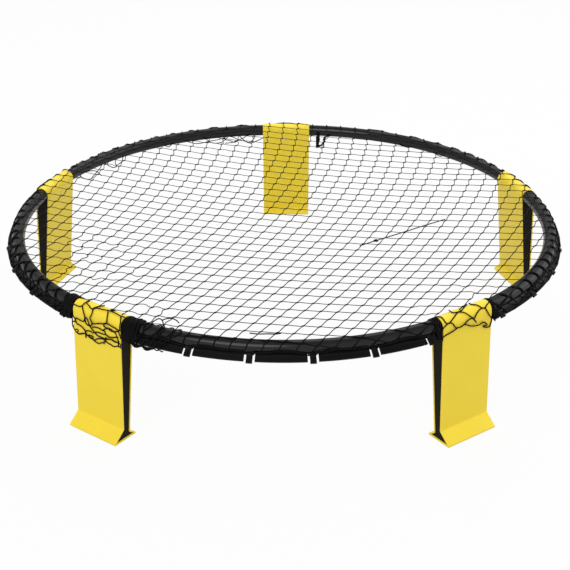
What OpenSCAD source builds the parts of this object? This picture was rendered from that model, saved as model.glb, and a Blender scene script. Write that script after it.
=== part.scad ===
// Round net set: a low ring of five curved tubes on five folding legs, with a knotted net
// that lies over the ring and hooks under a notched fin on each tube.
// Millimetres, Z up. The origin is on the floor, below the middle of the footprint.

/* [Rim] */
// Distance from the ring's centre to the tube's axis at a leg
rim_r = 440; // [380:1:520]
// Height of the tube's axis above the floor
axis_h = 186.5; // [150:0.5:240]
// Outside diameter of a rim tube
tube_d = 21; // [18:0.5:30]
// Wall of a rim tube
tube_wall = 2.5; // [1.5:0.1:4]
// Diameter of a tube's neck, from a leg's edge to its spigot
neck_d = 19.5; // [16:0.5:28]
// Diameter of the spigot at a tube's end, inside a leg
spigot_d = 19; // [15:0.5:27]
// Straight length of a spigot on each side of a leg's middle
straight_half = 18; // [12:1:30]
// Gap between two tube ends inside a leg
end_gap = 0.5; // [0.2:0.1:2]
// Depth of the rod that joins two tubes, in each of them
joiner_depth = 17; // [10:0.5:40]

/* [Net hooks] */
// Number of hook tabs on a tube
hook_count = 6; // [2:1:8]
// Angle between two tabs, about the centre of the tube's bend
hook_pitch = 11.7; // [6:0.1:12]
// Width of a tab along the rim
tab_w = 8.5; // [5:0.5:12]
// How far a tab reaches past the net loop that it holds
tab_over = 9.6; // [3:0.1:12]
// How far the fin stays back from the end of its tabs
fin_back = 2.5; // [1:0.1:6]
// Thickness of the fin and its tabs
fin_t = 3; // [2:0.1:5]
// Angle of the fin below the horizontal
fin_tilt = 38; // [25:1:65]
// Width of the notch on each side of a tab
notch_w = 3.2; // [3:0.1:8]
// Gap from a leg's edge to the end of the fin
fin_end_gap = 2; // [1:0.5:10]

/* [Legs] */
// Width of a leg along the rim
leg_w = 94; // [70:1:120]
// Wall of the leg's shell
leg_wall = 2; // [1.5:0.1:3]
// Clearance between the saddle and the bent neck of the tube
saddle_gap = 0.3; // [0.3:0.1:1.5]
// Outward offset of the crease above the outer toe
crease_out = 21.4; // [12:0.1:30]
// Height of the crease above the outer toe
crease_out_h = 18.7; // [12:0.1:30]
// Outward offset of the crease above the inner toe
crease_in = 7.4; // [0:0.1:10]
// Height of the crease above the inner toe
crease_in_h = 10; // [8:0.1:20]
// Outward offset of the outer toe
toe_out = 40.5; // [34:0.1:60]
// Outward offset of the inner toe
toe_in = -3.5; // [-20:0.1:-1]
// Height of a toe's edge
toe_h = 2.5; // [1.5:0.1:4]
// Thickness of the foot's base
base_t = 3; // [2:0.1:5]

/* [Side plates] */
// Thickness of a side plate
side_t = 2.5; // [1.5:0.1:5]
// Depth of a side plate inside the shell's edge
side_inset = 1.2; // [0:0.1:4]
// Clearance round what is fitted into the shell
seat_gap = 0.1; // [0.05:0.01:0.2]

/* [Hub] */
// Depth of the hub below the tube's axis
hub_drop = 46; // [30:1:80]
// Running clearance between a spigot and the hub, on the radius
run_gap = 0.05; // [0.02:0.01:0.1]
// Clearance between the hub's end and the neck's shoulder
hub_end_gap = 0.3; // [0.2:0.1:1]
// Diameter of the screw's shank
screw_d = 3; // [2:0.1:4]
// Length of the screw's shank
screw_l = 13; // [8:0.5:20]
// Diameter of the screw's head
screw_head_d = 5; // [4.5:0.1:9]
// Height of the screw's head
screw_head_h = 1.4; // [1:0.1:3]
// Distance of the screw from the tube's axis, down the inner panel
screw_drop = 14.5; // [14.5:0.5:40]

/* [Net] */
// Thickness of the net's cord
cord = 2; // [1:0.1:3]
// Length of a mesh along the crosswise cords
mesh_a = 50; // [40:1:80]
// Length of a mesh along the lengthwise cords
mesh_b = 48; // [38:1:80]
// Direction of the crosswise cords
mesh_a_dir = -9; // [-20:1:20]
// Direction of the lengthwise cords
mesh_b_dir = 78; // [65:1:100]
// Number of straight sides of the net's border along a tube
edge_knots = 12; // [6:1:24]
// Clearance of the net from what it lies on
net_gap = 0.3; // [0.2:0.1:1]
// Number of net cords that hang over a leg
leg_cords = 4; // [2:1:6]
// Length of net that hangs down a leg below the saddle
net_hang = 14; // [6:1:30]

/* [Hidden] */
$fn = 64;
LEGS = 5;
turn = 360 / LEGS;
tube_r = tube_d / 2;
leg_half = leg_w / 2;
// A body that cuts another passes its surface by this much.
past = 1;

// The tube's axis is straight through a leg and bends with one radius between two legs.
bend_r = rim_r - straight_half / tan(turn / 2);
bend_off = straight_half / sin(turn / 2);
bend_sag = bend_r - sqrt(pow(bend_r, 2) - pow(leg_half - straight_half, 2));
saddle_r = neck_d / 2 + bend_sag + saddle_gap + leg_wall;
joiner_r = spigot_d / 2 - tube_wall - run_gap;
spigot_root = 2 * tube_wall;

// The net's loops lie round the tube at the height of the saddles.
loop_r = saddle_r + net_gap;
tab_r = loop_r + cord + tab_over;
fin_r = tab_r - fin_back;
fin_root = tube_wall / 2;
loop_off = (tab_w + notch_w) / 2;
hook_under = asin((fin_t / 2 + net_gap) / loop_r);
loop_tip = asin(cord / loop_r);
top_gap = asin(net_gap / loop_r);
arc_step = 8;

// A line in the leg's section is [direction of its outward normal, distance from the axis].
function across_from(p) = acos(saddle_r / norm(p));
function line_on(a, p) = [a, p * [cos(a), sin(a)]];
function line_by(p, q) = line_on(atan2(p.x - q.x, q.y - p.y), p);
function moved_in(line, by) = [line[0], line[1] - by];
function touch(line) = line[1] * [cos(line[0]), sin(line[0])];
function meet(f, g) = [
    f[1] * sin(g[0]) - g[1] * sin(f[0]),
    g[1] * cos(f[0]) - f[1] * cos(g[0])
] / sin(g[0] - f[0]);

crease_o = [crease_out, crease_out_h - axis_h];
crease_i = [crease_in, crease_in_h - axis_h];
panel_o = line_on(atan2(crease_o.y, crease_o.x) + across_from(crease_o), crease_o);
panel_i = line_on(atan2(crease_i.y, crease_i.x) - across_from(crease_i), crease_i);
flare_o = line_by([toe_out, toe_h - axis_h], crease_o);
flare_i = line_by(crease_i, [toe_in, toe_h - axis_h]);

// The origin is moved from the ring's centre to the middle of the footprint.
function fin_reach(r) = r * cos(fin_tilt) + fin_t / 2 * sin(fin_tilt);
front_hook = (hook_count + 1) % 2 * hook_pitch / 2;
loop_turn = abs(front_hook - atan(loop_off / bend_r));
tab_turn = max(front_hook - atan(tab_w / 2 / bend_r), 0);
front_reach = bend_off + max(
    (bend_r + loop_r + cord) * cos(loop_turn),
    (bend_r + fin_reach(tab_r)) * cos(tab_turn),
    bend_r + fin_reach(fin_r)
);
centre_y = (front_reach - rim_r - toe_out) / 2;

function leg_dir(k) = 90 + turn * (k - 1);
function numbered(name) = [for (k = [1 : LEGS]) str(name, "_", k)];

// Places its children at leg k: X points outward, Y along the tube, Z up from the tube's axis.
module at_leg(k) {
    translate([0, centre_y, axis_h])
        rotate([0, 0, leg_dir(k)])
            translate([rim_r, 0, 0])
                children();
}

// Places its children at the centre of tube k's bend, with X towards the tube's first end.
module at_bend(k) {
    translate([0, centre_y, axis_h])
        rotate([0, 0, leg_dir(k) + turn / 2])
            translate([bend_off, 0, 0])
                rotate([0, 0, -turn / 2])
                    children();
}

// Places its children at a hook: X points outward, Y along the tube, Z up from the tube's axis.
module at_hook(k, i) {
    at_bend(k)
        rotate([0, 0, turn / 2 + hook_pitch * (i - (hook_count - 1) / 2)])
            translate([bend_r, 0, 0])
                children();
}

// Extrudes a section along the tube over the width w, centred on y.
module along_tube(w, y = 0) {
    translate([0, y, 0])
        rotate([90, 0, 0])
            linear_extrude(height = w, center = true)
                children();
}

module tube_section(r) {
    difference() {
        circle(r);
        circle(r - tube_wall);
    }
}

// A stretch of the bent tube with the radius r, from angle a over the angle span.
module bent_tube(a, span, r) {
    rotate([0, 0, a])
        rotate_extrude(angle = span)
            translate([bend_r, 0])
                tube_section(r);
}

// A stretch of the fin, from angle a over the angle span, out to the radius r.
module fin_stretch(a, span, r) {
    rotate([0, 0, a])
        rotate_extrude(angle = span)
            translate([bend_r, 0])
                rotate(-fin_tilt)
                    translate([tube_r - fin_root, -fin_t / 2])
                        square([r - tube_r + fin_root, fin_t]);
}

// Curved tube with a neck and a straight spigot at each end, and a fin notched beside each hook tab.
module rim_tube(k) {
    function span(w) = w / bend_r * 180 / PI;
    fin_start = span(leg_half + fin_end_gap - straight_half);
    tube_start = span(leg_half + fin_end_gap / 2 - straight_half);
    neck_span = tube_start + span(spigot_root);
    tab_at = [for (i = [0 : hook_count - 1]) turn / 2 + hook_pitch * (i - (hook_count - 1) / 2)];
    tab_span = span(tab_w);
    slot_half = tab_span / 2 + span(notch_w);
    starts = concat([fin_start], [for (a = tab_at) a + slot_half]);
    ends = concat([for (a = tab_at) a - slot_half], [turn - fin_start]);
    spigot = straight_half - end_gap / 2 + spigot_root;
    spigot_y = (straight_half + spigot_root + end_gap / 2) / 2;
    color("#1b1b1e") union() {
        at_bend(k) {
            bent_tube(tube_start, turn - 2 * tube_start, tube_r);
            for (a = [0, turn - neck_span]) bent_tube(a, neck_span, neck_d / 2);
            for (i = [0 : hook_count]) fin_stretch(starts[i], ends[i] - starts[i], fin_r);
            for (a = tab_at) fin_stretch(a - tab_span / 2, tab_span, tab_r);
        }
        at_leg(k) along_tube(spigot, spigot_y) tube_section(spigot_d / 2);
        at_leg(k + 1) along_tube(spigot, -spigot_y) tube_section(spigot_d / 2);
    }
}

// Rod inside a leg that holds the ends of two tubes together.
module rim_joiner(k) {
    color("#4a4a4e") at_leg(k) along_tube(2 * joiner_depth) circle(joiner_r);
}

// Points of a leg's section below the saddle, moved in by e, with the foot's own points between.
function below_saddle(e, foot) =
    concat([touch(moved_in(panel_o, e))], foot, [touch(moved_in(panel_i, e))]);

// Foot's points inside a leg, moved in by e and standing the height base off the floor.
function foot_inside(e, base) =
    let (
        out = moved_in(flare_o, e),
        in = moved_in(flare_i, e),
        low = [-90, axis_h - base]
    ) [
        meet(moved_in(panel_o, e), out),
        meet(out, low),
        meet(in, low),
        meet(in, moved_in(panel_i, e))
    ];

// Fills a leg's section over the width w: saddle and panels moved in by e, and the foot.
module leg_block(w, e, foot) {
    along_tube(w) circle(saddle_r - e);
    along_tube(w) polygon(below_saddle(e, foot));
}

// Leg's shell: one bent sheet over the tube, down both sides and round the foot's blunt toes.
module leg_shell(k) {
    toes = [
        crease_o,
        [toe_out, toe_h - axis_h],
        [toe_out, -axis_h],
        [toe_in, -axis_h],
        [toe_in, toe_h - axis_h],
        crease_i
    ];
    color("#e5cd46") at_leg(k) difference() {
        leg_block(leg_w, 0, toes);
        leg_block(leg_w + 2 * past, leg_wall, foot_inside(leg_wall, base_t));
        screw_place() screw_hole();
    }
}

// Plate that closes a leg's side below the tube, on the right seen from outside where side is 1.
module leg_side(k, side) {
    inside = leg_wall + seat_gap;
    color("#2c2826") at_leg(k)
        along_tube(side_t, side * (leg_half - side_inset - side_t / 2))
            difference() {
                polygon(below_saddle(inside, foot_inside(inside, base_t + seat_gap)));
                circle(saddle_r - leg_wall);
            }
}

// Hub inside a leg's top that turns on the spigots of two tubes.
module leg_hub(k) {
    inside = leg_wall + seat_gap;
    w = 2 * (straight_half - hub_end_gap);
    low = [-90, hub_drop];
    foot = [meet(moved_in(panel_o, inside), low), meet(moved_in(panel_i, inside), low)];
    color("#26262a") at_leg(k) difference() {
        leg_block(w, inside, foot);
        along_tube(w + 2 * past) circle(spigot_d / 2 + run_gap);
        screw_place() screw_hole();
    }
}

// Places its children on the inner panel, with Z along the panel's outward normal.
module screw_place() {
    a = panel_i[0];
    at = touch(panel_i) + screw_drop * [-sin(a), cos(a)];
    translate([at.x, 0, at.y])
        rotate([0, 90 - a, 0])
            children();
}

module screw_hole() {
    translate([0, 0, -screw_l - past])
        cylinder(d = screw_d + 2 * seat_gap, h = screw_l + leg_wall + 2 * past);
}

// Screw that holds the hub to the shell's inner panel.
module leg_screw(k) {
    color("#c9c4b4") at_leg(k) screw_place() {
        translate([0, 0, -screw_l]) cylinder(d = screw_d, h = screw_l + screw_head_h / 2);
        cylinder(d = screw_head_d, h = screw_head_h);
    }
}

// Plan of the ring inside the tube's axis, drawn in by e, with straight sides from knot to knot.
module ring_plan(e) {
    polygon([for (k = [1 : LEGS], n = [0 : edge_knots])
        let (
            mid = leg_dir(k) + turn / 2,
            a = leg_dir(k) + turn * n / edge_knots
        )
        bend_off * [cos(mid), sin(mid)] + (bend_r - e) * [cos(a), sin(a)]
    ]);
}

// Net's flat part: crossing cords with a border where the net turns over the tube.
module net_mesh() {
    va = mesh_a * [cos(mesh_a_dir), sin(mesh_a_dir)];
    vb = mesh_b * [cos(mesh_b_dir), sin(mesh_b_dir)];
    slant = sin(mesh_b_dir - mesh_a_dir);
    half_a = va * (1 - cord / (mesh_a * slant)) / 2;
    half_b = vb * (1 - cord / (mesh_b * slant)) / 2;
    many = ceil(rim_r / min(mesh_a, mesh_b)) + 2;
    reach = rim_r + min(mesh_a, mesh_b) / 2 - 2 * cord;
    color("#161617")
        translate([0, centre_y, axis_h + loop_r])
            linear_extrude(height = cord)
                difference() {
                    ring_plan(net_gap);
                    intersection() {
                        ring_plan(net_gap + 2 * cord);
                        for (i = [-many : many], j = [-many : many]) {
                            c = i * va + j * vb;
                            if (norm(c) < reach)
                                polygon([
                                    c - half_a - half_b,
                                    c + half_a - half_b,
                                    c + half_a + half_b,
                                    c - half_a + half_b
                                ]);
                        }
                    }
                }
}

// A stretch of net cord round the tube, from angle a to angle b, with width w along the tube, and
// thicker by e on both faces.
module cord_round(a, b, w, y = 0, e = 0) {
    translate([0, y, 0])
        rotate([90, 0, 0])
            rotate([0, 0, a])
                rotate_extrude(angle = b - a)
                    translate([loop_r - e, -w / 2])
                        square([cord + 2 * e, w]);
}

// Section of the net over a leg: round the saddle, and down beside the outer panel by the length low.
module hem_section(low) {
    side = panel_o[0];
    over = 90 - top_gap;
    steps = ceil((over - side) / arc_step);
    down = low * [sin(side), -cos(side)];
    function arc(r, i) = let (a = side + (over - side) * i / steps) r * [cos(a), sin(a)];
    polygon(concat(
        [for (i = [0 : steps]) arc(loop_r + cord, i)],
        [for (i = [steps : -1 : 0]) arc(loop_r, i)],
        [arc(loop_r, 0) + down, arc(loop_r + cord, 0) + down]
    ));
}

// Net's edge: loops through the notches and under the tabs, and free cords over the legs.
module net_loops() {
    low = -fin_tilt - hook_under;
    over = 90 - top_gap;
    pitch = leg_w / leg_cords;
    far = loop_r + cord + past;
    color("#161617") {
        for (k = [1 : LEGS], i = [0 : hook_count - 1])
            at_hook(k, i) difference() {
                cord_round(low - loop_tip, over, 2 * loop_off + cord);
                cord_round(low, over + loop_tip, 2 * loop_off - cord, e = past);
            }
        for (k = [1 : LEGS])
            at_leg(k) difference() {
                along_tube(pitch * (leg_cords - 1) + cord) hem_section(net_hang + cord);
                for (n = [1 : leg_cords - 1])
                    along_tube(pitch - cord, pitch * (n - leg_cords / 2))
                        rotate(panel_o[0])
                            translate([-far, -net_hang])
                                square([2 * far, far + net_hang]);
            }
    }
}

for (k = [1 : LEGS]) {
    rim_tube(k);
    rim_joiner(k);
    leg_shell(k);
    leg_side(k, -1);
    leg_side(k, 1);
    leg_hub(k);
    leg_screw(k);
}
net_mesh();
net_loops();
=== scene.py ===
import math

import bpy
import numpy as np
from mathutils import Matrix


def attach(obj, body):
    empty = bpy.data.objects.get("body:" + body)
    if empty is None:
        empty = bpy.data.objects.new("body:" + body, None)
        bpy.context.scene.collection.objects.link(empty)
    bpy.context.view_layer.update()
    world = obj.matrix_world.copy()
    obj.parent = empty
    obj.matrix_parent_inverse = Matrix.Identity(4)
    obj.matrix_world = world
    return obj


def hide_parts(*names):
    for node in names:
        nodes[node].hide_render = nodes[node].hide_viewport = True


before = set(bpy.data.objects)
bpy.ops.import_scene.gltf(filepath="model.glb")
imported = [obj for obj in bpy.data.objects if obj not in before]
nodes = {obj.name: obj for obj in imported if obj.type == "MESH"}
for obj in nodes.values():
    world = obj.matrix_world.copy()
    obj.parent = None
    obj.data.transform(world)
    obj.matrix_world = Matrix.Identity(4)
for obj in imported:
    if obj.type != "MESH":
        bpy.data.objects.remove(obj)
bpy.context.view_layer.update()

# The camera.
# A long lens a little above the ring, turned down on it, as in the photograph.
EYE = (0.0164, -1.8427, 0.9907)
LOOK_DOWN = 0.4716
LOOK_LEFT = 0.0082
FOCAL_PIXELS = 1169.0
FRAME_PIXELS = 570.0
SENSOR_MM = 36.0

lens = bpy.data.cameras.new("camera")
lens.sensor_width = SENSOR_MM
lens.lens = SENSOR_MM * FOCAL_PIXELS / FRAME_PIXELS
camera = bpy.data.objects.new("camera", lens)
camera.location = EYE
camera.rotation_euler = (math.pi / 2 - LOOK_DOWN, 0.0, LOOK_LEFT)
bpy.context.scene.collection.objects.link(camera)
bpy.context.scene.camera = camera
bpy.context.scene.view_settings.view_transform = "Standard"


# The studio.
# A wide pale floor under soft lamps, with a white surround that gloss can mirror.
FLOOR_HALF = 6.0
FLOOR_SINK = 0.0002
FLOOR_GREY = 0.65
FLOOR_GLOW = 0.94
ROOM_LIGHT = 0.78
LAMP_AIM = np.array([0.0, 0.0, 0.1])
LAMPS = (
    ("lamp_front", (-1.7, -4.3, 4.6), 4.0, 150.0),
    ("lamp_side", (1.9, 0.5, 1.2), 1.6, 10.0),
    ("lamp_back", (0.2, 1.7, 2.4), 2.0, 26.0),
)


def node_of(tree, kind, links=(), **values):
    """Adds a shader node, sets its fields and sockets by name, and links (socket, source) pairs."""
    made = tree.nodes.new(kind)
    for key, value in values.items():
        if hasattr(made, key):
            setattr(made, key, value)
        else:
            made.inputs[key.replace("_", " ")].default_value = value
    for socket, source in links:
        tree.links.new(source, made.inputs[socket])
    return made


def sees_background(tree):
    """One for rays from the camera, a mirror or glass, and nought for the light on the object."""
    path = node_of(tree, "ShaderNodeLightPath")
    seen = node_of(tree, "ShaderNodeMath", operation="MAXIMUM",
                   links=((0, path.outputs["Is Camera Ray"]), (1, path.outputs["Is Glossy Ray"])))
    return node_of(tree, "ShaderNodeMath", operation="MAXIMUM",
                   links=((0, seen.outputs[0]), (1, path.outputs["Is Transmission Ray"])))


world = bpy.data.worlds.new("studio")
bpy.context.scene.world = world
world.use_nodes = True
sky = world.node_tree
sky.nodes.clear()
shown = sees_background(sky)
strength = node_of(sky, "ShaderNodeMapRange", links=(("Value", shown.outputs[0]),))
strength.inputs["To Min"].default_value = ROOM_LIGHT
strength.inputs["To Max"].default_value = 1.0
background = node_of(sky, "ShaderNodeBackground", links=(("Strength", strength.outputs[0]),))
background.inputs["Color"].default_value = (1.0, 1.0, 1.0, 1.0)
node_of(sky, "ShaderNodeOutputWorld", links=(("Surface", background.outputs[0]),))

for name, place, size, power in LAMPS:
    lamp = bpy.data.lights.new(name, "AREA")
    lamp.shape = "DISK"
    lamp.size = size
    lamp.energy = power
    holder = bpy.data.objects.new(name, lamp)
    holder.location = place
    aim = LAMP_AIM - np.array(place)
    holder.rotation_euler = (
        math.atan2(math.hypot(aim[0], aim[1]), -aim[2]), 0.0, math.atan2(aim[1], aim[0]) - math.pi / 2)
    bpy.context.scene.collection.objects.link(holder)

floor_mesh = bpy.data.meshes.new("floor")
corner = FLOOR_HALF * np.array([[-1, -1, 0], [1, -1, 0], [1, 1, 0], [-1, 1, 0]], float)
corner[:, 2] = -FLOOR_SINK
floor_mesh.from_pydata(corner.tolist(), [], [(0, 1, 2, 3)])
floor = bpy.data.objects.new("floor", floor_mesh)
bpy.context.scene.collection.objects.link(floor)
paper = bpy.data.materials.new("floor_paper")
paper.use_nodes = True
tree = paper.node_tree
tree.nodes.clear()
matt = node_of(tree, "ShaderNodeBsdfDiffuse")
matt.inputs["Color"].default_value = (FLOOR_GREY, FLOOR_GREY, FLOOR_GREY, 1.0)
glow = node_of(tree, "ShaderNodeEmission")
share = node_of(tree, "ShaderNodeMath", operation="MULTIPLY",
                links=((0, sees_background(tree).outputs[0]),))
share.inputs[1].default_value = FLOOR_GLOW
mixed = node_of(tree, "ShaderNodeMixShader",
                links=((0, share.outputs[0]), (1, matt.outputs[0]), (2, glow.outputs[0])))
node_of(tree, "ShaderNodeOutputMaterial", links=(("Surface", mixed.outputs[0]),))
floor_mesh.materials.append(paper)


# The rim tubes.
# Five curved tubes of black plastic, blow-moulded with a notched fin along the outer lower side. Their coat
# is a
# painted sheen set by height: full above the fin, none on the underside, a share on top. Each is straight
# at a leg and one arc between.
MM = 0.001
LEGS = 5
LEG_NUMBERS = range(1, LEGS + 1)
RING_CENTRE = np.array([0.0, -7.94693])
RIM_R = 440.0
AXIS_H = 186.5
TUBE_R = 10.5
STRAIGHT = 18.0
TURN = 2.0 * math.pi / LEGS
BEND_R = RIM_R - STRAIGHT / math.tan(TURN / 2)
BEND_OFF = STRAIGHT / math.sin(TURN / 2)
SPAN = 2.0 * STRAIGHT + BEND_R * TURN
LEG_AT = math.pi / 2 + TURN * np.arange(LEGS)
RIM_BLACK = (0.0044, 0.0045, 0.0053)
RIM_POLISH = 0.5
TOP_PAINTED_SHEEN = 0.38
# Painted sheen: runs of the coat's weight over the height from the axis, each with its low and high height
# and the weights there.
PAINTED_SHEEN_RUNS = ((-10.0, 0.0, 0.0, RIM_POLISH), (4.5, 10.0, 1.0, TOP_PAINTED_SHEEN))
COAT_ROUGHNESS = 0.14


def moulded_skin():
    """Skin of moulded plastic as a node group: fine grain for the height, slow flow marks for colour."""
    group = bpy.data.node_groups.new("moulded_skin", "ShaderNodeTree")
    for name, kind in (("Vector", "Vector"), ("Grain", "Float"), ("Flow", "Float")):
        group.interface.new_socket(name, in_out="INPUT", socket_type="NodeSocket" + kind)
    for name in ("Height", "Mottle"):
        group.interface.new_socket(name, in_out="OUTPUT", socket_type="NodeSocketFloat")
    inside = node_of(group, "NodeGroupInput")
    grain = node_of(group, "ShaderNodeTexNoise", Detail=3.0, Roughness=0.6,
                    links=(("Vector", inside.outputs["Vector"]), ("Scale", inside.outputs["Grain"])))
    flow = node_of(group, "ShaderNodeTexNoise", Detail=4.0, Roughness=0.55, Distortion=0.6,
                   links=(("Vector", inside.outputs["Vector"]), ("Scale", inside.outputs["Flow"])))
    outside = node_of(group, "NodeGroupOutput")
    group.links.new(grain.outputs[0], outside.inputs["Height"])
    group.links.new(flow.outputs[0], outside.inputs["Mottle"])
    return group


SKIN = moulded_skin()


def moulded_plastic(name, colour, shade, gloss, grain, flow, depth, specular=0.4):
    """Plastic of one colour: flow marks run between colour and shade and between the two values of
    gloss (roughness), and a grain of so many cells a metre stands out by depth metres."""
    made = bpy.data.materials.new(name)
    made.use_nodes = True
    tree = made.node_tree
    tree.nodes.clear()
    place = node_of(tree, "ShaderNodeTexCoord")
    skin = node_of(tree, "ShaderNodeGroup", node_tree=SKIN, links=(("Vector", place.outputs["Object"]),))
    skin.inputs["Grain"].default_value = grain
    skin.inputs["Flow"].default_value = flow
    tint = node_of(tree, "ShaderNodeMix", data_type="RGBA", links=((0, skin.outputs["Mottle"]),))
    tint.inputs[6].default_value = (*shade, 1.0)
    tint.inputs[7].default_value = (*colour, 1.0)
    rough = node_of(tree, "ShaderNodeMapRange", links=(("Value", skin.outputs["Mottle"]),))
    rough.inputs["To Min"].default_value = gloss[0]
    rough.inputs["To Max"].default_value = gloss[1]
    bump = node_of(tree, "ShaderNodeBump", Distance=depth, Strength=1.0,
                   links=(("Height", skin.outputs["Height"]),))
    surface = node_of(tree, "ShaderNodeBsdfPrincipled",
                      links=(("Base Color", tint.outputs[2]), ("Roughness", rough.outputs[0]),
                             ("Normal", bump.outputs[0])))
    surface.inputs["Specular IOR Level"].default_value = specular
    node_of(tree, "ShaderNodeOutputMaterial", links=(("Surface", surface.outputs[0]),))
    return made


def dress(node, material):
    """Gives a solid that is shown as it is its finished material."""
    mesh = nodes[node].data
    mesh.materials.clear()
    mesh.materials.append(material)


rim_gloss = moulded_plastic("rim_gloss_black", RIM_BLACK, tuple(0.7 * c for c in RIM_BLACK),
                            gloss=(0.34, 0.5), grain=900.0, flow=14.0, depth=0.00004, specular=0.045)

# The coat's weight is the product of two runs over the height from the axis, in millimetres: a painted
# sheen, with painted shade under it, that rises from the underside to the middle and falls to a share on
# the top.
tree = rim_gloss.node_tree
place = node_of(tree, "ShaderNodeTexCoord")
height = node_of(tree, "ShaderNodeSeparateXYZ", links=((0, place.outputs["Object"]),))
shine = []
for low, high, least, most in PAINTED_SHEEN_RUNS:
    share = node_of(tree, "ShaderNodeMapRange", interpolation_type="SMOOTHSTEP",
                    links=(("Value", height.outputs["Z"]),))
    share.inputs["From Min"].default_value = MM * (AXIS_H + low)
    share.inputs["From Max"].default_value = MM * (AXIS_H + high)
    share.inputs["To Min"].default_value = least
    share.inputs["To Max"].default_value = most
    shine.append(share)
painted_sheen = node_of(tree, "ShaderNodeMath", operation="MULTIPLY",
                 links=((0, shine[0].outputs[0]), (1, shine[1].outputs[0])))
surface = next(n for n in tree.nodes if n.type == "BSDF_PRINCIPLED")
surface.inputs["Coat Roughness"].default_value = COAT_ROUGHNESS
tree.links.new(painted_sheen.outputs[0], surface.inputs["Coat Weight"])
for k in LEG_NUMBERS:
    dress(f"rim_tube_{k}", rim_gloss)


# The joining rods.
# Plain grey rods inside the legs, pushed into the spigots of two tubes.
ROD_GREY = (0.07, 0.07, 0.076)
ROD_DEEP = (0.05, 0.05, 0.055)
rod_grey = moulded_plastic("rod_grey", ROD_GREY, ROD_DEEP,
                           gloss=(0.45, 0.6), grain=700.0, flow=20.0, depth=0.00003)
for k in LEG_NUMBERS:
    dress(f"rim_joiner_{k}", rod_grey)


# The hubs.
# Black moulded bearings inside the legs' tops, which turn on the spigots.
HUB_BLACK = (0.02, 0.02, 0.023)
HUB_DEEP = (0.014, 0.014, 0.016)
hub_black = moulded_plastic("hub_black", HUB_BLACK, HUB_DEEP,
                            gloss=(0.5, 0.65), grain=700.0, flow=20.0, depth=0.00003)
for k in LEG_NUMBERS:
    dress(f"leg_hub_{k}", hub_black)


# The leg shells.
# Each is one yellow plastic sheet, bent over the tube, down both faces and round a flared foot. Its
# edges are eased by the mould, and its face is satin.
LEG_YELLOW = (0.85, 0.663, 0.048)
LEG_YELLOW_DEEP = (0.81, 0.605, 0.036)
SADDLE_R = 13.0639
LEG_HALF = 47.0
SHEET = 2.0
BASE = 3.0
EASE = 0.7
CREASES = np.array([[21.4, 18.7 - AXIS_H], [7.4, 10.0 - AXIS_H]])
TOES = np.array([[40.5, 2.5 - AXIS_H], [-3.5, 2.5 - AXIS_H]])
BENDS = (3.0, 0.9, 0.7, 0.7, 0.9, 3.0)
INNER_BENDS = (5.0, 0.3, 0.3, 0.3, 0.3, 5.0)
ARC_POINTS = 29
STRAIGHT_POINTS = np.array([0.04, 0.5, 0.96])
FILLET = 1.0


def compass(a):
    """Directions at the angles a, outward and along."""
    return np.stack([np.cos(a), np.sin(a)], -1), np.stack([-np.sin(a), np.cos(a)], -1)


def smooth(x, low, high):
    """Rises from nought at low to one at high, level at both ends."""
    t = np.clip((x - low) / (high - low), 0.0, 1.0)
    return t * t * (3.0 - 2.0 * t)


def line_by(p, q):
    """The line through two points of a leg's section: its normal's direction and distance from the axis."""
    a = math.atan2(p[0] - q[0], q[1] - p[1])
    return a, p[0] * math.cos(a) + p[1] * math.sin(a)


def crossing(one, two, inset):
    """Where two lines of a leg's section meet, once both are moved in by their inset."""
    rows = compass(np.array([one[0], two[0]]))[0]
    return np.linalg.solve(rows, np.array([one[1], two[1]]) - inset)


def bent_line(corners, radii, steps=6):
    """A line from corner to corner. Each inner corner is a parabola between the points where a bend of
    its radius would leave the sides, and each straight gets points close to both of its ends."""
    p = np.asarray(corners, float)
    way = np.diff(p, axis=0)
    way /= np.linalg.norm(way, axis=1, keepdims=True)
    turn = np.arccos(np.clip((way[:-1] * way[1:]).sum(1), -1.0, 1.0))
    cut = (np.asarray(radii) * np.tan(turn / 2))[:, None]
    start, end = p[1:-1] - cut * way[:-1], p[1:-1] + cut * way[1:]
    t = np.linspace(0.0, 1.0, steps)[None, :, None]
    bends = (1 - t) ** 2 * start[:, None] + 2 * t * (1 - t) * p[1:-1, None] + t ** 2 * end[:, None]
    left, right = np.concatenate([p[:1], end]), np.concatenate([start, p[-1:]])
    straights = left[:, None] + STRAIGHT_POINTS[None, :, None] * (right - left)[:, None]
    return np.concatenate([np.concatenate([straights[:-1], bends], 1).reshape(-1, 2), straights[-1]])


lean = np.arccos(SADDLE_R / np.linalg.norm(CREASES, axis=1)) * np.array([1.0, -1.0])
PANELS = np.arctan2(CREASES[:, 1], CREASES[:, 0]) + lean
panel_out, panel_in = ((a, SADDLE_R) for a in PANELS)
flare_out, flare_in = line_by(TOES[0], CREASES[0]), line_by(CREASES[1], TOES[1])
ground = (-math.pi / 2, AXIS_H)


def leg_outline(radius, corners, radii):
    """Closed outline of a leg's section: the saddle's arc from the inner side over the top, then the
    outer panel, the foot's corners and the inner panel."""
    arc = radius * compass(np.linspace(PANELS[1] + 2 * math.pi, PANELS[0], ARC_POINTS))[0]
    return np.concatenate([arc, bent_line(np.concatenate([arc[-1:], corners, arc[:1]]), radii)])


blunt = np.array([0.0, -TOES[0, 1] - AXIS_H])
outer = leg_outline(SADDLE_R, [
    CREASES[0], TOES[0], TOES[0] + blunt, TOES[1] + blunt, TOES[1], CREASES[1]], BENDS)
wedge_out = crossing(flare_out, ground, (SHEET, BASE))
wedge_in = crossing(flare_in, ground, (SHEET, BASE))
up_out, up_in = compass(flare_out[0])[1], -compass(flare_in[0])[1]
inner = leg_outline(SADDLE_R - SHEET, [
    crossing(panel_out, flare_out, SHEET), wedge_out + FILLET * up_out, wedge_out - [FILLET, 0.0],
    wedge_in + [FILLET, 0.0], wedge_in + FILLET * up_in, crossing(panel_in, flare_in, SHEET)], INNER_BENDS)

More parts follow.
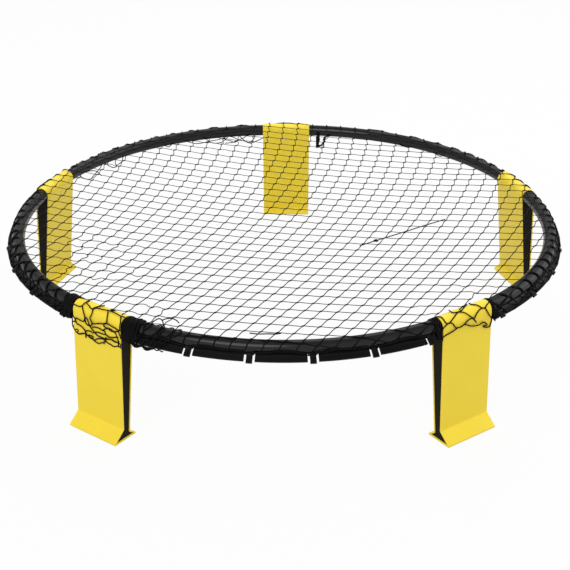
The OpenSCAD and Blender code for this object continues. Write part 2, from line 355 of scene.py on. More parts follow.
# The sheet's own section, once round: out along the outer face, over an eased edge and back inside.
ease = np.linspace(0.0, math.pi / 2, 5)
face_y = np.array([-1.0, -0.99, -0.5, 0.0, 0.5, 0.99, 1.0]) * (LEG_HALF - EASE)
edge_y, edge_d = LEG_HALF - EASE + EASE * np.sin(ease[1:]), EASE * (1.0 - np.cos(ease[1:]))
flat = np.zeros(len(face_y))
half_y, half_d = np.concatenate([face_y, edge_y]), np.concatenate([flat, edge_d])
sheet_y = np.concatenate([half_y, edge_y[::-1], face_y[::-1], -edge_y, -edge_y[::-1]])
sheet_d = np.concatenate([half_d, edge_d[::-1], flat, edge_d, edge_d[::-1]])
inside = np.repeat([0.0, 1.0, 0.0], [len(half_y), len(half_y) + len(edge_y), len(edge_y)])


def loop_faces(n, m):
    """Four-cornered faces of a grid of n by m points that closes both ways."""
    index = np.arange(n * m).reshape(n, m)
    on, up = np.roll(index, -1, 0), np.roll(index, -1, 1)
    return np.stack([index, on, np.roll(on, -1, 1), up], -1).reshape(-1, 4)


def at_leg(leg, place):
    """Carries places of a leg's own frame (outward from the axis, along the tube, up), in millimetres, to
    the object's frame in metres."""
    out, side = compass(LEG_AT[leg - 1])
    plan = RING_CENTRE + (RIM_R + place[..., :1]) * out + place[..., 1:2] * side
    return MM * np.concatenate([plan, AXIS_H + place[..., 2:]], -1)


def new_piece(name, mesh, material, body):
    """Links a finished mesh as a piece that moves with a body and takes its finish from a slot."""
    mesh.polygons.foreach_set("use_smooth", np.ones(len(mesh.polygons), bool))
    mesh.update()
    mesh.materials.append(material)
    piece = bpy.data.objects.new(name, mesh)
    bpy.context.scene.collection.objects.link(piece)
    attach(piece, body)
    return piece


wall = np.linalg.norm(inner - outer, axis=1)[:, None]
share = inside + (1.0 - 2.0 * inside) * sheet_d / wall
section = outer[:, None] + share[..., None] * (inner - outer)[:, None]
shell = np.stack([section[..., 0], np.broadcast_to(sheet_y, share.shape), section[..., 1]], -1)
leg_satin = moulded_plastic("leg_satin_yellow", LEG_YELLOW, LEG_YELLOW_DEEP,
                            gloss=(0.34, 0.48), grain=1100.0, flow=18.0, depth=0.00003, specular=0.2)
for k in LEG_NUMBERS:
    mesh = bpy.data.meshes.new(f"leg_sheet_{k}")
    mesh.from_pydata(at_leg(k, shell).reshape(-1, 3).tolist(), [], loop_faces(*share.shape).tolist())
    piece = new_piece(f"leg_sheet_{k}", mesh, leg_satin, f"leg_{k}")
    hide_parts(f"leg_shell_{k}")


# The side plates.
# Charcoal plates with a matt grain, pressed into the sides of a leg.
CHARCOAL = (0.0090, 0.0076, 0.0054)
CHARCOAL_DEEP = (0.0064, 0.0054, 0.0040)
plate_matt = moulded_plastic("plate_matt_charcoal", CHARCOAL, CHARCOAL_DEEP,
                             gloss=(0.55, 0.72), grain=1400.0, flow=30.0, depth=0.00005, specular=0.09)
for k in LEG_NUMBERS:
    dress(f"leg_side_left_{k}", plate_matt)
    dress(f"leg_side_right_{k}", plate_matt)


# The screws.
# Pale steel screws with a domed head and a cross recess, one near the top of each inner panel, driven
# through the sheet into the hub.
STEEL_PALE = (0.62, 0.60, 0.56)
STEEL_DEEP = (0.5, 0.48, 0.45)
HEAD_R, HEAD_H, HEAD_EDGE, HEAD_FALL = 2.5, 1.4, 0.5, 0.96
SHANK_R, SHANK_L = 1.5, 13.0
SCREW_DOWN = 14.5
RECESS_ARM, RECESS_HALF, RECESS_DEEP = 1.35, 0.3, 0.6
RECESS_WALL = (0.75, 1.25)
SPOKES, RINGS = 48, 15


def screw_form():
    """Turned screw: a head whose height falls as an ellipse, its edge, and the shank. A cross is sunk into
    the head, along the two axes."""
    ring = np.linspace(0.05, 1.0, RINGS)
    radius = np.concatenate([HEAD_R * ring, [HEAD_R, SHANK_R, SHANK_R]])
    dome = HEAD_EDGE + (HEAD_H - HEAD_EDGE) * np.sqrt(1.0 - HEAD_FALL * ring ** 2)
    height = np.concatenate([dome, [0.0, 0.0, -SHANK_L]])
    a = 2 * math.pi * np.arange(SPOKES) / SPOKES
    x, y = radius[:, None] * np.cos(a), radius[:, None] * np.sin(a)
    arm = np.minimum(np.maximum(np.abs(x) / RECESS_ARM, np.abs(y) / RECESS_HALF),
                     np.maximum(np.abs(y) / RECESS_ARM, np.abs(x) / RECESS_HALF))
    sunk = RECESS_DEEP * (1.0 - smooth(arm, *RECESS_WALL)) * (height >= HEAD_EDGE)[:, None]
    return x, y, height[:, None] - sunk


screw_steel = moulded_plastic("screw_steel", STEEL_PALE, STEEL_DEEP,
                              gloss=(0.25, 0.4), grain=1500.0, flow=200.0, depth=0.00002)
x, y, h = screw_form()
normal, down = compass(PANELS[1])
spot = SADDLE_R * normal + SCREW_DOWN * down
index = np.arange(x.size).reshape(x.shape)
after = np.roll(index, -1, axis=1)
quads = np.stack([index[:-1], index[1:], after[1:], after[:-1]], -1).reshape(-1, 4).tolist()
ends = [index[0].tolist(), index[-1, ::-1].tolist()]
for k in LEG_NUMBERS:
    # Each screw was driven home at another angle, so that its cross stands differently.
    along, fall = x * math.cos(k) - y * math.sin(k), x * math.sin(k) + y * math.cos(k)
    place = spot + fall[..., None] * down + h[..., None] * normal
    form = np.stack([place[..., 0], along, place[..., 1]], -1)
    mesh = bpy.data.meshes.new(f"leg_cross_screw_{k}")
    mesh.from_pydata(at_leg(k, form).reshape(-1, 3).tolist(), [], quads + ends)
    piece = new_piece(f"leg_cross_screw_{k}", mesh, screw_steel, f"leg_{k}")
    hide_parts(f"leg_screw_{k}")


# The net.
# Black nylon twine, knotted by machine into meshes of about 26 mm. It is laid over the tubes and
# saddles, stretched from hook to hook, and its border is caught under the tabs of the fins.
TWINE_R = 0.7
TWINE_REST = 0.15
NET_SAG = 2.5
FIN_SLOPE = 38.0
FIN_AT = math.radians(90.0 + FIN_SLOPE)
FIN_R = 22.4639
FIN_CLEAR = 1.2
TAB_HALF = 4.25
NOTCH = 3.2
NOTCH_RUN = (TAB_HALF + 0.6, TAB_HALF + NOTCH - 0.6)
STEP_RUN = (LEG_HALF + 0.7, LEG_HALF + 9.0)
LEG_SIDE = LEG_HALF + 2.0
SADDLE_REACH = LEG_HALF + 4.0
SADDLE_TURN = math.radians(87.5)
TUBE_TURN = math.radians(175.0)
LEVEL_RUN = 140.0
HOOKS = 6
HOOK_PITCH = np.radians(11.7)
HOOK_AT = BEND_R * (TURN / 2 + HOOK_PITCH * (np.arange(HOOKS) - (HOOKS - 1) / 2)) + STRAIGHT
OVER_FIN = np.array([0.0, 1.0, 0.0, 1.0, 0.0])
SEED = 5
rng = np.random.default_rng(SEED)


def rim_place(length):
    """At a length round the ring from leg 1: the point on the tubes' axis, the outward direction and
    the distance from the nearest leg's middle. The axis is straight at a leg and an arc between."""
    turn = np.floor(length / SPAN)
    k = turn.astype(int) % LEGS
    along = length - turn * SPAN
    bend = np.clip((along - STRAIGHT) / BEND_R, 0.0, TURN)
    out, side = compass(LEG_AT[k] + bend)
    centre = BEND_OFF * compass(LEG_AT[k] + TURN / 2)[0]
    axis = centre + BEND_R * out + (along - STRAIGHT - BEND_R * bend)[..., None] * side
    return axis, out, np.minimum(along, SPAN - along)


def rim_coords(plan):
    """The other way about: the length round the ring and the distance outside the tubes' axis."""
    turned = np.mod(np.arctan2(plan[..., 1], plan[..., 0]) - LEG_AT[0], 2 * math.pi)
    k = np.minimum((turned / TURN).astype(int), LEGS - 1)
    mid = LEG_AT[k] + TURN / 2
    from_centre = plan - BEND_OFF * compass(mid)[0]
    a = np.arctan2(from_centre[..., 1], from_centre[..., 0])
    bend = np.clip(np.mod(a - mid + math.pi, 2 * math.pi) - math.pi + TURN / 2, 0.0, TURN)
    out, side = compass(LEG_AT[k] + bend)
    rest = (from_centre * side).sum(-1)
    return k * SPAN + STRAIGHT + BEND_R * bend + rest, (from_centre * out).sum(-1) - BEND_R


def wrap_radius(reach):
    """Radius at which the twine lies: on the saddle over a leg, and on the tube between two legs."""
    return TWINE_R + TWINE_REST + SADDLE_R + (TUBE_R - SADDLE_R) * smooth(reach, *STEP_RUN)


def hook_distance(length):
    """Distance from the nearest hook along a tube."""
    along = np.mod(length, SPAN)
    return np.abs(along[..., None] - HOOK_AT).min(-1)


def on_fin(length):
    """One where the net is pulled down to the fin's edge: on the left and the right tube, between the
    hooks. Nought at a hook and on the other tubes, where the net lies on the tube alone."""
    tube = np.mod(np.floor(length / SPAN).astype(int), LEGS)
    return OVER_FIN[tube] * smooth(hook_distance(length), *NOTCH_RUN)


def over_rim(length, s, lift=0.0):
    """Twine laid over the rim: s is the length of twine outside the top line. It follows a circle round
    the tube's axis, and goes straight down from a saddle's side or straight to the fin's edge. Inside
    the top line it sinks to the level of the flat net, which sags as the square of the distance."""
    axis, out, reach = rim_place(length)
    radius = wrap_radius(reach) + lift
    leaves = FIN_AT - np.arccos(radius / (FIN_R + FIN_CLEAR + lift))
    limit = np.where(reach < SADDLE_REACH, SADDLE_TURN, TUBE_TURN + on_fin(length) * (leaves - TUBE_TURN))
    phi = np.clip(s / radius, 0.0, limit)
    hang = np.maximum(s - radius * limit, 0.0)
    inward = np.minimum(s, 0.0)
    plan = axis + (radius * np.sin(phi) + hang * np.cos(phi) + inward)[..., None] * out
    flat = SADDLE_R + TWINE_R - NET_SAG * (1.0 - (plan ** 2).sum(-1) / RIM_R ** 2)
    top = radius + (flat - radius) * smooth(-s, 0.0, LEVEL_RUN)
    z = AXIS_H + top * np.cos(phi) - hang * np.sin(phi)
    return MM * np.concatenate([plan + RING_CENTRE, z[..., None]], -1)


def drape(plan, lift=0.0):
    """Carries points of the flat net, in millimetres from the ring's centre, to where they lie."""
    length, s = rim_coords(plan)
    return over_rim(length, s, lift)


def twine_mesh(name, paths, radius, sides=5):
    """Round twine: a ring of points carried square to each path. paths is (cords, points, 3), and
    radius a number or (cords, points). The map gives the length in metres and the share of a turn."""
    n, k = paths.shape[:2]
    ahead = np.gradient(paths, axis=1)
    ahead /= np.linalg.norm(ahead, axis=-1, keepdims=True) + 1e-12
    trial = np.array([[1, 0, 0], [0, 1, 0], [0, 0, 1], [0.707, 0.707, 0], [0.707, -0.707, 0]])
    square = np.abs(ahead @ trial.T).max(1).argmin(1)
    side = np.cross(ahead, trial[square][:, None, :])
    side /= np.linalg.norm(side, axis=-1, keepdims=True) + 1e-12
    up = np.cross(side, ahead)
    a = 2 * math.pi * np.arange(sides) / sides
    r = np.broadcast_to(radius, (n, k))[..., None, None]
    ring = paths[:, :, None, :] + r * (
        np.cos(a)[:, None] * side[:, :, None, :] + np.sin(a)[:, None] * up[:, :, None, :])
    index = np.arange(n * k * sides).reshape(n, k, sides)
    after = np.roll(index, -1, axis=2)
    walls = np.stack([index[:, :-1], index[:, 1:], after[:, 1:], after[:, :-1]], -1).reshape(-1, 4)
    caps = np.concatenate([index[:, 0], index[:, -1, ::-1]])
    mesh = bpy.data.meshes.new(name)
    mesh.from_pydata(ring.reshape(-1, 3).tolist(), [], walls.tolist() + caps.tolist())
    step = np.linalg.norm(np.diff(paths, axis=1), axis=-1)
    run = np.concatenate([np.zeros((n, 1)), np.cumsum(step, 1)], 1)
    share = np.arange(sides + 1) / sides
    u = np.broadcast_to(run[:, :, None], (n, k, sides))
    low, high = np.broadcast_to(share[:-1], u.shape), np.broadcast_to(share[1:], u.shape)
    uv = np.stack([
        np.stack([u[:, :-1], low[:, :-1]], -1), np.stack([u[:, 1:], low[:, 1:]], -1),
        np.stack([u[:, 1:], high[:, 1:]], -1), np.stack([u[:, :-1], high[:, :-1]], -1)], 3).reshape(-1, 2)
    ends = np.concatenate([np.repeat(run[:, 0], sides), np.repeat(run[:, -1], sides)])
    uv = np.concatenate([uv, np.stack([ends, np.zeros_like(ends)], -1)])
    layer = mesh.uv_layers.new(name="twine")
    layer.data.foreach_set("uv", uv.astype(np.float32).ravel())
    return mesh


# Twine: black nylon, three strands laid with a slight gloss and grey where it is fluffed. The lay is so
# many turns in a metre.
PLY = 3
LAY_TURNS = 260.0
TWINE_BLACK = (0.0025, 0.0025, 0.0028, 1.0)
TWINE_FLUFF = (0.0075, 0.0070, 0.0068, 1.0)
TWINE_SPECULAR = 0.08
twine_black = bpy.data.materials.new("twine_black")
twine_black.use_nodes = True
tree = twine_black.node_tree
tree.nodes.clear()
along = node_of(tree, "ShaderNodeUVMap", uv_map="twine")
parts = node_of(tree, "ShaderNodeSeparateXYZ", links=((0, along.outputs[0]),))
lay = node_of(tree, "ShaderNodeMath", operation="MULTIPLY_ADD",
              links=((0, parts.outputs[0]), (2, parts.outputs[1])))
lay.inputs[1].default_value = LAY_TURNS
strand = node_of(tree, "ShaderNodeMath", operation="MULTIPLY", links=((0, lay.outputs[0]),))
strand.inputs[1].default_value = 2 * PLY * math.pi
wave = node_of(tree, "ShaderNodeMath", operation="SINE", links=((0, strand.outputs[0]),))
place = node_of(tree, "ShaderNodeTexCoord")
fluff = node_of(tree, "ShaderNodeTexNoise", Scale=60.0, Detail=4.0, Roughness=0.6,
                links=(("Vector", place.outputs["Object"]),))
shade = node_of(tree, "ShaderNodeMix", data_type="RGBA", links=((0, fluff.outputs[0]),))
shade.inputs[6].default_value = TWINE_BLACK
shade.inputs[7].default_value = TWINE_FLUFF
groove = node_of(tree, "ShaderNodeBump", Distance=0.0002, Strength=0.8,
                 links=(("Height", wave.outputs[0]),))
cord_face = node_of(tree, "ShaderNodeBsdfPrincipled", Roughness=0.62,
                    links=(("Base Color", shade.outputs[2]), ("Normal", groove.outputs[0])))
cord_face.inputs["Specular IOR Level"].default_value = TWINE_SPECULAR
node_of(tree, "ShaderNodeOutputMaterial", links=(("Surface", cord_face.outputs[0]),))


def twine_piece(name, paths, radius):
    """A piece of the net along the paths, of twine with a radius in millimetres."""
    return new_piece(name, twine_mesh(name, paths, radius * MM), twine_black, "rim")


# The net's meshes.
# Each cord lies where a smooth number of the place is whole. A row gives the crosswise or the lengthwise
# cords: the number at the centre, how many lie across a unit, their slant, bow and fan, and how they crowd.
NET_UNIT = 400.0
NET_TRUE = 398.0
NET_REACH = 560.0
CORDS_EACH_WAY = 27
SLOPE_STEPS = 60
LONGEST_STEP = 12.0
CROSS_CORDS = (-0.32, 15.2, 2.5, -1.5, 0.6, -1.3)
LONG_CORDS = (0.0, 15.1, -5.2, 2.4, -1.2, 0.3)


def cord_number(across, along, start, count, slant, bow, fan, crowd):
    """Number of a family's cord at a place across and along it, as a quadratic of the two, and its
    slopes across and along."""
    straight = start + count * across + slant * along
    value = straight + bow * along ** 2 + fan * across * along + crowd * across ** 2
    return value, count + fan * along + 2 * crowd * across, slant + 2 * bow * along + fan * across


def cord_numbers(plan):
    """Numbers of the crosswise and lengthwise cord at a place, and how they change with it. Outside
    the measured round they go on evenly."""
    far = np.linalg.norm(plan, axis=-1, keepdims=True)
    near = plan * np.minimum(1.0, NET_TRUE / np.maximum(far, 1e-6)) / NET_UNIT
    x, y = near[..., 0], near[..., 1]
    cross, cross_y, cross_x = cord_number(y, x, *CROSS_CORDS)
    long, long_x, long_y = cord_number(x, y, *LONG_CORDS)
    rise = np.stack([cross_x, cross_y, long_x, long_y], -1).reshape(*x.shape, 2, 2) / NET_UNIT
    value = np.stack([cross, long], -1)
    return value + (rise @ (plan - near * NET_UNIT)[..., None])[..., 0], rise


def knot_places(cross, long):
    """Where a crosswise and a lengthwise cord meet: from an even lattice, each step divides what is missing
    in the two numbers by their slopes. Also tells which meetings were found."""
    want = np.stack(np.broadcast_arrays(cross, long), -1).astype(float)
    base, rise = cord_numbers(np.zeros(2))
    at = np.linalg.solve(rise, (want - base)[..., None])[..., 0]
    for _ in range(SLOPE_STEPS):
        value, rise = cord_numbers(at)
        step = np.linalg.solve(rise, (want - value)[..., None])[..., 0]
        size = np.linalg.norm(step, axis=-1, keepdims=True)
        at = at + step * np.minimum(1.0, LONGEST_STEP / np.maximum(size, 1e-9))
    return at, np.linalg.norm(cord_numbers(at)[0] - want, axis=-1) < 1e-6


numbers = np.arange(-CORDS_EACH_WAY, CORDS_EACH_WAY + 1)
knots, found = knot_places(*np.meshgrid(numbers, numbers, indexing="ij"))

# Border: how far the net goes over the rim from the top line. It is a length of twine in millimetres on
# each leg and at the fin's edge, and an angle in degrees round the tube.
LEG_HEM = np.array([34.0, 36.0, 1.0, 1.0, 34.0])
HEM_RUN = (LEG_HALF - 2.0, LEG_HALF + 14.0)
FIN_EDGE = 31.5
UNDER_TAB = 140.0
ABOVE_FIN = 113.0
BETWEEN_HOOKS = 96.0
SWING_FROM = 7.4
SWING_RUN = 35.0
SWING_POWER = 1.7
HALVINGS = 18


def border(length, under=False):
    """Twine from the top line to the border. On a tube the border swings up between two hooks, and
    under=True takes it through the notches and under the tabs. On a leg it is the hem's depth."""
    reach = np.minimum(np.mod(length, SPAN), SPAN - np.mod(length, SPAN))
    leg = np.mod(np.rint(length / SPAN).astype(int), LEGS)
    off = hook_distance(length)
    rise = (1.0 - np.clip((off - SWING_FROM) / SWING_RUN, 0.0, 1.0)) ** SWING_POWER
    swing = BETWEEN_HOOKS + (ABOVE_FIN - BETWEEN_HOOKS) * rise
    if under:
        swing = swing + (UNDER_TAB - swing) * (1.0 - smooth(off, *NOTCH_RUN))
    tube = np.radians(swing) * (TUBE_R + TWINE_R + TWINE_REST)
    tube = tube + on_fin(length) * (FIN_EDGE - tube)
    return LEG_HEM[leg] + (tube - LEG_HEM[leg]) * smooth(reach, *HEM_RUN)


def inside_net(plan):
    """Above nought inside the border, in millimetres of twine."""
    length, s = rim_coords(plan)
    return border(length) - s


def cut_runs(start, end, ok, bare=()):
    """Straight runs of the flat net from knot to knot, cut off at the border by halving. On the bare
    legs (counted from nought) a run that would be cut is left out."""
    a, b = start[ok], end[ok]
    keep_a, keep_b = inside_net(a) > 0, inside_net(b) > 0
    swap = keep_b & ~keep_a
    a, b = np.where(swap[:, None], b, a), np.where(swap[:, None], a, b)
    some = keep_a | keep_b
    a, b, whole = a[some], b[some], (keep_a & keep_b)[some]
    low, high = np.zeros(len(a)), np.ones(len(a))
    for _ in range(HALVINGS):
        mid = (low + high) / 2
        good = inside_net(a + mid[:, None] * (b - a)) > 0
        low, high = np.where(good, mid, low), np.where(good, high, mid)
    b = a + np.where(whole, 1.0, low)[:, None] * (b - a)
    length = rim_coords(b)[0]
    leg = np.mod(np.rint(length / SPAN).astype(int), LEGS)
    kept = whole | ~np.isin(leg, bare) | (rim_place(length)[2] > LEG_SIDE)
    return a[kept], b[kept]


# Sway as a share of a cord, where the net is taut and where it is slack: there, each row is the plan's x
# and y, the width of the spot and the sway.
TAUT = 0.011
SECOND_BOW = 0.6
SLACK = np.array([
    [-275.0, -235.0, 80.0, 0.12], [-180.0, -385.0, 45.0, 0.08], [-335.0, -120.0, 70.0, 0.085],
    [-130.0, 350.0, 60.0, 0.06], [-345.0, 185.0, 45.0, 0.06], [300.0, -285.0, 50.0, 0.035],
])


def sway_of(plan):
    """Sway of the cords, taut apart from the slack spots, where it rises as a bell."""
    far = ((plan[:, None] - SLACK[:, :2]) ** 2).sum(-1) / SLACK[:, 2] ** 2
    return TAUT + (SLACK[:, 3] * np.exp(-far)).sum(-1)


def runs_to_paths(a, b, points):
    """Points along each run, swayed aside in one bow and, less, in two."""
    t = np.linspace(0.0, 1.0, points)
    d = b - a
    turned = np.stack([-d[:, 1], d[:, 0]], -1)
    size = sway_of((a + b) / 2)
    one, two = (size * rng.normal(size=(2, len(a))))[..., None]
    sway = one * np.sin(math.pi * t) + SECOND_BOW * two * np.sin(2 * math.pi * t)
    return a[:, None] + t[None, :, None] * d[:, None] + sway[..., None] * turned[:, None]


def cord_way(at, family):
    """Direction of the crosswise (0) or lengthwise (1) cord at a place."""
    rise = cord_numbers(at)[1][..., family, :]
    way = np.stack([rise[..., 1], -rise[..., 0]], -1)
    return way / np.linalg.norm(way, axis=-1, keepdims=True)


# Each knot is a short bar: cords come in at one end and leave at the other. The bars are longer and lie
# flatter at the back, which gives the bricks there.
JOG_FRONT, JOG_BACK, JOG_RUN = 0.7, 2.2, (-250.0, 280.0)
RISE_FRONT, RISE_BACK, RISE_RUN = 0.9, 1.7, (-300.0, 50.0)
jog = JOG_FRONT + (JOG_BACK - JOG_FRONT) * smooth(knots[..., 1], *JOG_RUN)
rise = RISE_FRONT + (RISE_BACK - RISE_FRONT) * smooth(knots[..., 1], *RISE_RUN)
grip = jog[..., None] * cord_way(knots, 0) - rise[..., None] * cord_way(knots, 1)
near = found & (np.linalg.norm(knots, axis=-1) < NET_REACH)

# On the rim the meshes are drawn together, and the cords lie double there: most on the side tubes.
# Between, the crosswise cords are pulled thinner than the lengthwise ones.
DOUBLED = np.array([0.5, 0.9, 0.3, 0.8, 0.5])
DOUBLE_RUN = (-3.0, 4.0)
DOUBLE_LIFT = 0.6
PULLED_CROSS = 0.82
PULLED_LONG = 1.03
CORD_POINTS = 9


def laid_cords(name, a, b, pulled):
    """Cords along runs of the flat net, pulled to a share of the twine's radius, laid over the rim and
    thicker where they lie double."""
    length, s = rim_coords(runs_to_paths(a, b, CORD_POINTS))
    edge = smooth(s, *DOUBLE_RUN)
    double = DOUBLED[np.mod((length / SPAN).astype(int), LEGS)] * edge
    thick = pulled + (1.0 - pulled) * edge + double
    return twine_piece(name, over_rim(length, s, DOUBLE_LIFT * double), thick * TWINE_R)


a, b = cut_runs((knots + grip)[:, :-1].reshape(-1, 2), (knots - grip)[:, 1:].reshape(-1, 2),
                (near[:, :-1] & near[:, 1:]).ravel(), bare=(2, 3))
net_cross = laid_cords("net_cross_cords", a, b, PULLED_CROSS)
a, b = cut_runs((knots + grip)[:-1].reshape(-1, 2), (knots - grip)[1:].reshape(-1, 2),
                (near[:-1] & near[1:]).ravel())
net_long = laid_cords("net_long_cords", a, b, PULLED_LONG)
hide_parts("net_mesh")
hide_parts("net_mesh", "net_loops")

# Knots: two turns of twine drawn tight, along the bar from cord to cord.
KNOT_LOBES = np.array([0.55, 1.3, 1.1, 1.3, 0.55])
KNOT_OVER = 0.8
KNOT_LIFT = 0.2
KNOT_INSIDE = 2.0
KNOT_SWELL = 0.55
SWELL_RUN = (-4.0, 3.0)
tied = near & (inside_net(knots) > KNOT_INSIDE)
at = knots[tied]
bar = grip[tied] * (1.0 + KNOT_OVER / np.linalg.norm(grip[tied], axis=-1, keepdims=True))
across = np.linspace(-1.0, 1.0, len(KNOT_LOBES))[None, :, None] * bar[:, None]
swell = 1.0 + KNOT_SWELL * smooth(rim_coords(at)[1], *SWELL_RUN)[:, None]
twine_piece("net_knots", drape(at[:, None] + across, KNOT_LIFT), swell * KNOT_LOBES)

# Border cord, doubled, from hook to hook. It ends at the two front legs, where the hems go on. The second
# cord lies on the first, a little ahead of it, and waves up and down.
FREE_LEG = np.array([0.0, 0.0, 49.0, 49.0, 0.0, 0.0])
BORDER_R = 1.3 * TWINE_R
BORDER_POINTS = 481
BORDER_LIFTS = (0.3, 0.9)
BORDER_AHEAD = 3.0
BORDER_WAVE = 1.6
BORDER_WAVE_RUN = 9.0
first = SPAN * np.arange(LEGS) + FREE_LEG[:-1]
last = SPAN * np.arange(1, LEGS + 1) - FREE_LEG[1:]
length = first[:, None] + np.linspace(0.0, 1.0, BORDER_POINTS) * (last - first)[:, None]
under_cord = border(length, under=True)
over_cord = border(length + BORDER_AHEAD, under=True) + BORDER_WAVE * np.sin(length / BORDER_WAVE_RUN)
edge = np.concatenate([over_rim(length, s, lift) for s, lift in zip((under_cord, over_cord), BORDER_LIFTS)])
twine_piece("net_border", edge, BORDER_R)

# The hems over the two front legs.
# The last rows of meshes hang loose there: scalloped and tangled on the left leg, a zigzag with a curled
# end on the right one. Each cord is a list of places on the saddle: along it, and down from its top.
HEM_R = 1.35 * TWINE_R
HEM_POINTS = 44
HEM_PILE = 1.1
HEM_BELLY = 0.8
BELLY_RUN = (16.0, 30.0)
LEFT_HEM = (
    ((-48, 17), (-45.5, 14.5), (-35, 14.5), (-29.5, 11.5), (-28, 5), (-19.5, 7.5), (-11, 11), (-5, 7),
     (5.5, 5.5), (15, 3.5), (20.5, 3), (30.5, 3.5), (40, 5), (48, 5)),
    ((-29, -3), (-28, 5)),
    ((-11, 11), (-4, 3), (2, -4)),
    ((20, 3), (24, -4)),
    ((-29.5, 11.5), (-24.5, 18.5), (-21.5, 26.5), (-21.5, 33)),
    ((-8.5, 10.5), (-7.5, 15.5), (-8.5, 20.5), (-10.5, 25.5), (-7, 32)),
    ((15.5, 3.5), (19.5, 9), (22, 16.5), (22.5, 21.5)),
    ((41, 5), (44.5, 10.5), (46, 16), (46, 26)),
    ((-48, 30.5), (-46, 33), (-42, 36), (-38.5, 34.5), (-34, 35), (-27.5, 35.5), (-23.5, 34.5),
     (-22, 30.5), (-20, 27.5), (-17, 28), (-15.5, 31), (-14, 34.5), (-13, 38)),
    ((-22, 32), (-20.5, 35.5), (-17, 37.5), (-12.5, 38), (-9.5, 40.5), (-6, 43), (-3, 45), (-0.5, 47),
     (3.5, 48.5), (10.5, 48.5), (18.5, 49)),
    ((-42, 36), (-40.5, 39), (-38.5, 43), (-33.5, 43.5), (-28.5, 45), (-24, 47.5), (-22, 50),
     (-21.5, 55), (-21.5, 60)),
    ((-9, 30), (-6.5, 32), (-7.5, 36), (-12.5, 38)),
    ((-6.5, 33), (-0.5, 31), (7.5, 28), (15.5, 26), (22, 22.5), (23.5, 23), (29.5, 24), (36.5, 25.5),
     (43, 27), (47, 26.5)),
    ((-8, 37.5), (-0.5, 35.5), (6, 35), (12, 36), (17, 36.5), (18.5, 41)),
    ((22, 22.5), (17.5, 26), (17, 29), (20.5, 30.5), (24.5, 30.5), (29, 32.5), (33.5, 32)),
    ((13, 36.5), (18, 32.5), (23.5, 30), (28, 29), (32.5, 30.5), (36.5, 32.5), (39.5, 36.5), (41.5, 42),
     (42, 48.5), (42.5, 52)),
    ((-22, 48.5), (-17.5, 47), (-12.5, 46), (-6.5, 47), (-3, 45), (2, 43), (7, 42.5), (12.5, 42.5),
     (19, 41.5), (22.5, 42.5), (26.5, 43), (32.5, 41.5), (38.5, 39), (42.5, 38.5)),
    ((33.5, 32), (38, 30.5), (43, 29), (44.5, 32.5), (46, 36), (46.5, 39)),
    ((18.5, 49), (24, 48), (30, 47), (36, 48), (42, 48), (45.5, 48)),
    ((16, 50.5), (22.5, 47.5), (29.5, 46), (35, 47.5), (41, 47)),
    ((-48, 50), (-46.5, 52), (-44, 55), (-40, 57), (-35.5, 58.5), (-30.5, 56.5), (-24, 53.5),
     (-20, 54.5), (-15, 55.5), (-10, 57), (-5.5, 58.5), (-1.5, 60), (3.5, 60.5), (9, 58), (14, 55),
     (18, 51.5)),
    ((-48, 47.5), (-45.5, 52.5), (-42.5, 56), (-38.5, 58), (-34.5, 57.5), (-28, 54.5), (-23, 53.5),
     (-18, 55), (-13, 57), (-8, 57.5), (-3.5, 59.5)),
    ((-43.5, 54.5), (-40.5, 52), (-37.5, 52), (-37, 54), (-40, 57)),
    ((-18, 55), (-14, 53.5), (-9, 53.5), (-6.5, 54.5), (-8, 57.5), (-12, 57), (-16, 55.5)),
    ((-3.5, 58), (1, 55), (6, 53), (12, 51), (18, 50.5)),
    ((19.5, 46), (18.5, 51.5), (17, 55), (15.5, 58)),
    ((18, 51.5), (22, 53.5), (27, 54), (32.5, 55.5), (37.5, 54), (42.5, 52), (47, 54)),
    ((42, 42), (43, 45.5), (42.5, 50), (41.5, 52.5), (44.5, 53), (46.5, 50), (45.5, 48)),
    ((-48, 30.5), (-48, 35.5), (-48, 40.5), (-47.5, 43), (-44.5, 41), (-41, 40.5)),
    ((-48, 40.5), (-48.2, 45.5), (-48, 50)),
    ((-22, 50), (-20.5, 53), (-19.5, 55.5)),
)
RIGHT_HEM = (
    ((-55, -1.5), (-47.5, 0), (-43, 3), (-42.5, 8), (-41.5, 13.5), (-37.5, 16), (-33, 16), (-30, 18.5),
     (-26.5, 24), (-22, 28)),
    ((-37.5, 16), (-31.5, 13.5), (-25, 10), (-17, 6), (-13, 4.5), (-8.5, 4), (-3.5, 3), (4.5, -1),
     (13, -5)),
    ((-37.5, 16), (-42.5, 18), (-47, 20.5), (-49.5, 23)),
    ((-47, 35), (-42.5, 33), (-36.5, 32), (-29.5, 30.5), (-22, 28), (-16, 28.5), (-9.5, 26.5),
     (-3.5, 23), (2, 21), (8.5, 21.5)),
    ((-21.5, -5.5), (-21.5, 1.5), (-17, 4), (-13, 4.5), (-5, 8.5), (-1, 12.5), (3.5, 17.5), (8.5, 21.5)),
    ((8.5, 21.5), (11.5, 22), (13.5, 19), (18.5, 15), (24, 12.5), (30, 12)),
    ((8.5, 21.5), (12, 25), (16, 30)),
    ((17.5, -6), (18.5, 0.5), (22, 2.5), (25.5, 6.5), (28.5, 11), (33.5, 13), (39.5, 10), (46, 7.5)),
    ((31.5, 12.5), (34, 15), (35.5, 19.5), (39, 26.5), (45, 33.5), (49, 35)),
    ((-9, 27), (-5, 28), (2, 32.5), (10.5, 35.5), (19, 37), (24, 36), (28.5, 35.5), (32.5, 38), (36, 42),
     (33.5, 42.5), (28, 41.5), (31.5, 44.5), (40.5, 47), (43, 44.5), (45, 39.5), (46, 34.5)),
)


